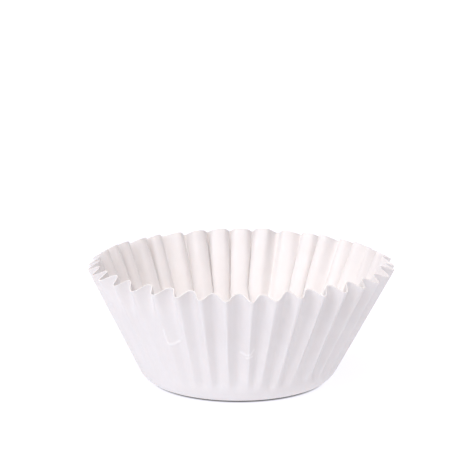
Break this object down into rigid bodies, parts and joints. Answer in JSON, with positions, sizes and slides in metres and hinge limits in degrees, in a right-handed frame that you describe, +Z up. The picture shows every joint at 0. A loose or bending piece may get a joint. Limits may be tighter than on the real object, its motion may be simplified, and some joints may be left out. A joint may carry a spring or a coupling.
{
  "type": "paper candy cup",
  "caption": "Fluted paper candy cup: a flat round floor folded up into a flaring wall of radial pleats that deepen towards a scalloped rim.",
  "frame": {"origin": "middle of the underside of the floor, where the cup stands", "axes": "+Z up, out of the mouth; +X and +Y level, with a valley of the wall on +X"},
  "size_m": [0.0422, 0.0424, 0.0168],
  "materials": {
    "paper": "matte uncoated white paper"
  },
  "bodies": {
    "root": {"paper_cup": "paper"}
  },
  "joints": []
}
